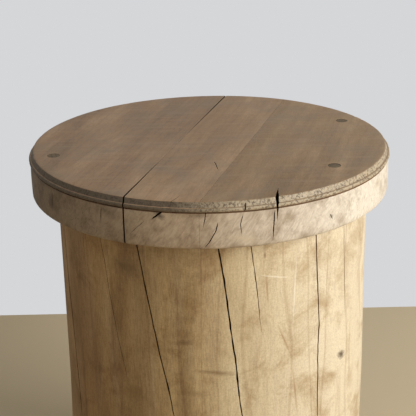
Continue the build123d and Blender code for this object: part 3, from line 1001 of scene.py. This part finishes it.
def lid_wood(side, shift, tones):
    """Pine: a brown waxed top with a grey cast, and an edge with painted light that makes it pale on the
    right and painted shade that makes it brown on the left.
    """
    material, tree, place, grain, colour, fibres = wood_base(
        f"waxed pine lid {side}",
        (0, 0, math.radians(-GRAIN_TURN)),
        (1, 6, 1),
        tones,
        shift,
        7.0,
        (shift[0] - 0.04, 0, LID_TOP - 0.30),
        "Y",
        ring_depth=0.10,
        fleck_depth=0.22,
    )
    split = add_node(tree, "ShaderNodeSeparateXYZ", {}, {"Vector": place})
    normal = add_node(tree, "ShaderNodeTexCoord").outputs["Normal"]
    upward = add_node(tree, "ShaderNodeSeparateXYZ", {}, {"Vector": normal}).outputs["Z"]
    grime = add_node(
        tree,
        "ShaderNodeTexNoise",
        {"Scale": 19.0, "Detail": 7.0, "Roughness": 0.68, "Distortion": 0.5},
        {"Vector": place},
    ).outputs["Fac"]
    colour = tinted(tree, colour, grime, 0.42, 0.68, 0.62, "83725d", "MIX")
    strokes_at = add_node(
        tree, "ShaderNodeMapping", {"vector_type": "TEXTURE", "Scale": (9, 1, 1)}, {"Vector": place}
    ).outputs[0]
    strokes = add_node(
        tree, "ShaderNodeTexNoise", {"Scale": 130.0, "Detail": 4.0}, {"Vector": strokes_at}
    ).outputs["Fac"]
    colour = tinted(tree, colour, strokes, 0.50, 0.75, 0.26, "ad947a", "MIX")

    # The edge, with painted shade making it brown on the left and painted light making it pale on the right,
    # and slanting hairs of grain
    painted_light_share = add_node(
        # Painted light and shade: a share that rises from the shaded left to the lit right, towards the
        # window
        tree,
        "ShaderNodeMapRange",
        {"From Min": -0.20, "From Max": 0.17},
        {"Value": split.outputs["X"]},
    ).outputs[0]
    edge_light_and_shade_tone = add_node(tree, "ShaderNodeValToRGB", {}, {"Fac": painted_light_share})
    edge_light_and_shade_tone.color_ramp.elements[0].color = linear("84705a")
    edge_light_and_shade_tone.color_ramp.elements[1].color = linear("e4d9c6")
    edge_light_and_shade_tone.color_ramp.elements.new(0.45).color = linear("baa387")
    hairs_at = add_node(
        tree,
        "ShaderNodeMapping",
        {"vector_type": "TEXTURE", "Rotation": (0, math.radians(38), 0), "Scale": (1, 1, 4.5)},
        {"Vector": place},
    ).outputs[0]
    hairs = add_node(
        tree,
        "ShaderNodeTexNoise",
        {"Scale": 210.0, "Detail": 6.0, "Roughness": 0.72, "Distortion": 1.4},
        {"Vector": hairs_at},
    ).outputs["Fac"]
    edge_colour = tinted(tree, edge_light_and_shade_tone.outputs[0], hairs, 0.42, 0.66, 0.42, "8d7252")
    dirt = add_node(
        tree,
        "ShaderNodeTexNoise",
        {"Scale": 34.0, "Detail": 5.0, "Roughness": 0.65},
        {"Vector": place},
    ).outputs["Fac"]
    edge_colour = tinted(tree, edge_colour, dirt, 0.46, 0.68, 0.6, "9a8468")
    for azimuth, below, wide, tall, lean, tint, strength in EDGE_STAINS:
        centre = side_point(azimuth, below * MM, LID_RADIUS)
        turn = (0, math.radians(lean), math.radians(azimuth))
        size = (wide * MM, EDGE_STAIN_DEPTH, tall * MM)
        edge_colour = stained(tree, place, edge_colour, tint, centre, turn, size, strength)

    # The bevel and bead: painted light makes them pale on the right and painted shade makes them dark on the
    # left, with dark flecks left in the hollows
    flecks = add_node(
        tree,
        "ShaderNodeTexNoise",
        {"Scale": 330.0, "Detail": 4.0, "Roughness": 0.75},
        {"Vector": place},
    ).outputs["Fac"]
    # Painted shade on the left and painted light on the right of the bevel and bead
    bead_light_and_shade_tone = add_node(tree, "ShaderNodeValToRGB", {}, {"Fac": painted_light_share})
    bead_light_and_shade_tone.color_ramp.elements[0].position = 0.42
    bead_light_and_shade_tone.color_ramp.elements[0].color = linear("665846")
    bead_light_and_shade_tone.color_ramp.elements[1].position = 0.62
    bead_light_and_shade_tone.color_ramp.elements[1].color = linear("b3a184")
    bead_by_side = tinted(tree, bead_light_and_shade_tone.outputs[0], flecks, 0.47, 0.60, 0.85, "4d3d2c", "MIX")
    above_quirk = add_node(
        tree,
        "ShaderNodeMapRange",
        {"From Min": LID_TOP - BEAD_FOOT[0] * MM, "From Max": LID_TOP - BEAD_FOOT[1] * MM},
        {"Value": split.outputs["Z"]},
    ).outputs[0]
    edge_colour = add_node(
        tree, "ShaderNodeMix", {"data_type": "RGBA"}, {0: above_quirk, 6: edge_colour, 7: bead_by_side}
    ).outputs[2]
    in_quirk = add_node(
        tree,
        "ShaderNodeMath",
        {"operation": "COMPARE", 1: LID_TOP - QUIRK_MIDDLE * MM, 2: 1.0 * MM},
        {0: split.outputs["Z"]},
    ).outputs[0]
    edge_colour = add_node(
        tree,
        "ShaderNodeMix",
        {"data_type": "RGBA", "blend_type": "MULTIPLY", 7: linear("84603c")},
        {0: in_quirk, 6: edge_colour},
    ).outputs[2]
    on_top = add_node(
        tree, "ShaderNodeMapRange", {"From Min": 0.80, "From Max": 0.96}, {"Value": upward}
    ).outputs[0]
    colour = add_node(
        tree, "ShaderNodeMix", {"data_type": "RGBA"}, {0: on_top, 6: edge_colour, 7: colour}
    ).outputs[2]
    relief = add_node(
        tree, "ShaderNodeMix", {"data_type": "FLOAT"}, {0: on_top, 2: hairs, 3: fibres}
    ).outputs[0]
    seal(tree, colour, relief, 0.55, 0.7)
    return material


# Marks on the lid's edge, as on the log
EDGE_STAIN_DEPTH = 30 * MM
EDGE_STAINS = (
    (-14.6, 16, 9, 4.5, 38, "453a2e", 0.8),
    (-3.0, 15, 13, 3.5, -6, "6b573f", 0.6),
    (-31.0, 20, 20, 9, 10, "54432f", 0.5),
    (9.0, 44, 22, 6, 12, "c9b595", 0.6),
    (23.0, 26, 12, 7, -20, "8a7354", 0.5),
    (37.2, 36, 4, 3, 20, "5c4a35", 0.75),
    (62.0, 24, 14, 7, 0, "a78f6c", 0.5),
    (-56.0, 30, 8, 14, 8, "43352a", 0.6),
)
LID_TONES = {
    "left": ("85684b", "9b7b5b", "b39372", "5f4833"),
    "middle": ("8b6c4d", "a3825f", "b99977", "644c34"),
    "right": ("866947", "9a7b57", "af906b", "5f4930"),
}
# A stand-in, which each plank's own wood replaces
disc.data.materials.append(bpy.data.materials.new("uncut lid"))
split_shade = dark_check("painted shade in a lid split", LID_RADIUS)
cut(disc, splits, split_shade)


def separate_bodies(mesh_data):
    """The vertices of each separate body in a mesh."""
    mesh = bmesh.new()
    mesh.from_mesh(mesh_data)
    mesh.verts.ensure_lookup_table()
    seen, islands = set(), []
    for vert in mesh.verts:
        if vert.index in seen:
            continue
        stack, island = [vert], set()
        while stack:
            v = stack.pop()
            if v.index in island:
                continue
            island.add(v.index)
            stack.extend(e.other_vert(v) for e in v.link_edges)
        seen |= island
        islands.append(island)
    mesh.free()
    return islands


def plank_side(mesh_data, island):
    """Which plank a body belongs to, by where it lies across the grain."""
    middle = sum(mesh_data.vertices[i].co.dot(ACROSS_GRAIN) for i in island) / len(island)
    return "left" if middle < OPEN_JOINT else "right" if middle > TIGHT_JOINT else "middle"


whole = disc.data
members = {"left": set(), "middle": set(), "right": set()}
for island in separate_bodies(whole):
    members[plank_side(whole, island)] |= island
for number, (side, kept) in enumerate(members.items()):
    mesh = bmesh.new()
    mesh.from_mesh(whole)
    mesh.verts.ensure_lookup_table()
    others = [v for v in mesh.verts if v.index not in kept]
    bmesh.ops.delete(mesh, geom=others, context="VERTS")
    plank_mesh = bpy.data.meshes.new(f"plank_{side}")
    mesh.to_mesh(plank_mesh)
    mesh.free()
    part_of_tree = (0.21 * number - 0.2, 0.7 * number, 0)
    plank_mesh.materials.append(lid_wood(side, part_of_tree, LID_TONES[side]))
    plank_mesh.materials.append(split_shade)
    plank = bpy.data.objects.new(f"plank_{side}", plank_mesh)
    bpy.context.collection.objects.link(plank)
    shade(plank)
    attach(plank, "lid")
    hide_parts(f"lid_plank_{side}")
bpy.data.objects.remove(disc)

# ---------------------------------------------------------------------------
# What holds the lid together. Dark plugs near its edge, dowels hidden in its
# joints, and two pine battens beneath, pegged across the planks.
# ---------------------------------------------------------------------------
PLUG_SINK = 0.35 * MM
PLUG_SHORTFALL = 0.4 * MM
PLUG_TONES = ("63543f", "76654c", "8b785c", "4a3d2d")
plug_length = PLUG_DEPTH - PLUG_SHORTFALL
plug_places = [(centre - UP * (plug_length / 2 + PLUG_SINK), UP) for centre in plug_centres]
plugs = whittled_pegs(
    "edge_plugs",
    peg_tree,
    plug_places,
    PLUG_RADIUS,
    plug_length,
    5,
    end_grain("bog oak plug", PLUG_TONES),
)
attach(plugs, "lid")
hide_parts("lid_plugs")

BATTEN_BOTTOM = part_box("lid_batten_front")[0].z
BATTEN_PEG_RADIUS = 5 * MM
BATTEN_PEG_TOP = LID_BOTTOM + 18 * MM
BATTENS_ALONG_GRAIN = (-85 * MM, 85 * MM)
BATTEN_PEGS_ACROSS_GRAIN = (-79.94 * MM, 5 * MM, 79.94 * MM)
BATTEN_TONES = ("8a6c4b", "a1805b", "b8966c", "664b30")
across_turn = (0, 0, math.radians(-GRAIN_TURN))
for number, side in enumerate(("front", "back")):
    batten_wood = plain_wood(
        f"planed pine batten {side}",
        across_turn,
        (12, 1, 1),
        BATTEN_TONES,
        0.65,
        (0, 0.3 * number, 0),
        (0, 0, 0.38),
        "X",
    )
    dress(f"lid_batten_{side}", batten_wood)
dress("lid_dowels", plain_wood("cleft oak lid dowel", across_turn, (10, 1, 1), BASE_TONES))
batten_peg_length = BATTEN_PEG_TOP - BATTEN_BOTTOM + PEG_STAND
batten_peg_middle = (BATTEN_PEG_TOP + BATTEN_BOTTOM - PEG_STAND) / 2
batten_peg_places = [
    (lid_point(across, along, LID_TOP - batten_peg_middle), -UP)
    for across in BATTEN_PEGS_ACROSS_GRAIN
    for along in BATTENS_ALONG_GRAIN
]
batten_pegs = whittled_pegs(
    "batten_trenails",
    peg_tree,
    batten_peg_places,
    BATTEN_PEG_RADIUS,
    batten_peg_length,
    9,
    end_grain("oak batten trenail", PEG_TONES),
)
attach(batten_pegs, "lid")
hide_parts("batten_pegs")

# ---------------------------------------------------------------------------
# The dasher. Beech, scrubbed pale by years of washing: two arms halved into a
# cross, a staff wedged through them, and a cross handle with its peg.
# ---------------------------------------------------------------------------
BEECH_TONES = ("a9825a", "bd976b", "cfae82", "8a6440")
DASHER_GRAIN = {
    "dasher_arm_lower": ((12, 1, 1), "X"),
    "dasher_arm_upper": ((1, 12, 1), "Y"),
    "dasher_staff": ((1, 1, 12), "Z"),
    "dasher_handle": ((12, 1, 1), "X"),
}
for number, (node, (stretch, axis)) in enumerate(DASHER_GRAIN.items()):
    beech = plain_wood(
        f"scrubbed beech {node.removeprefix('dasher_')}",
        (0, 0, 0),
        stretch,
        BEECH_TONES,
        0.6,
        (0.2 * number, 0.2, 0.1),
        (0.05, 0.05, 0),
        axis,
    )
    dress(node, beech)
dress("dasher_wedge", end_grain("oak wedge", PEG_TONES))
dress("handle_peg", end_grain("oak handle peg", PEG_TONES))
